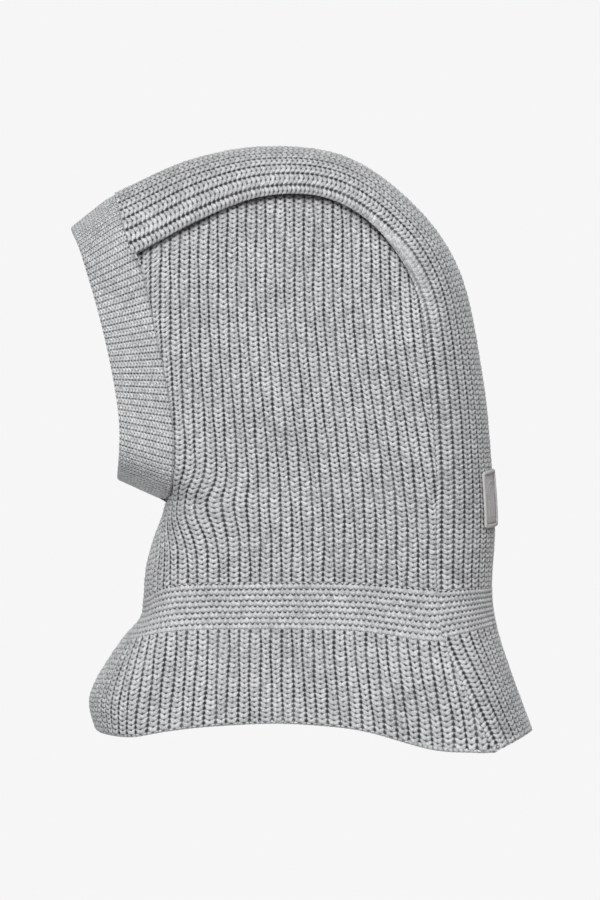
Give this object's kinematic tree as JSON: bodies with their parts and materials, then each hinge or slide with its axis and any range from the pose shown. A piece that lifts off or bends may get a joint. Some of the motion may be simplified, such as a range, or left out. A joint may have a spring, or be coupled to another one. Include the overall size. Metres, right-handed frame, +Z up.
{
  "type": "balaclava",
  "caption": "Rib-knitted balaclava hood with a padded crown panel, a turned fine-rib face band, a purl neck band and a flared rib bib.",
  "frame": {"origin": "where the inside of the crown rests on the top of the head, on the hood's plane of symmetry", "axes": "+Z up, the face towards -Y, the wearer's left at +X"},
  "size_m": [0.1516, 0.3078, 0.4023],
  "materials": {
    "rib_knit": "heavy cardigan rib in grey melange wool",
    "purl_knit": "garter ridges in grey melange wool",
    "band_knit": "fine rib in grey melange wool, folded double",
    "link_yarn": "chain of linking and cast-off yarn",
    "patch_cloth": "smooth woven patch with a raised border",
    "ribbon": "satin ribbon"
  },
  "bodies": {
    "hood": {"crown_panel": "rib_knit", "back_purl_band": "purl_knit", "back_bib": "rib_knit", "side_panel_left": "rib_knit", "neck_purl_band_left": "purl_knit", "bib_left": "rib_knit", "side_panel_right": "rib_knit", "neck_purl_band_right": "purl_knit", "bib_right": "rib_knit", "face_band": "band_knit", "crown_seam_left": "link_yarn", "crown_seam_right": "link_yarn", "face_band_seam": "link_yarn", "throat_seam": "link_yarn", "hem_edge": "link_yarn", "patch": "patch_cloth", "patch_border": "patch_cloth"},
    "care_label": {"care_label": "ribbon"}
  },
  "joints": [
    {"name": "care_label_swing", "type": "hinge", "parent": "hood", "child": "care_label", "pos_m": [0.0484, 0.113, -0.262], "axis": [0, 0, -1], "range_deg": [0, 70]}
  ]
}
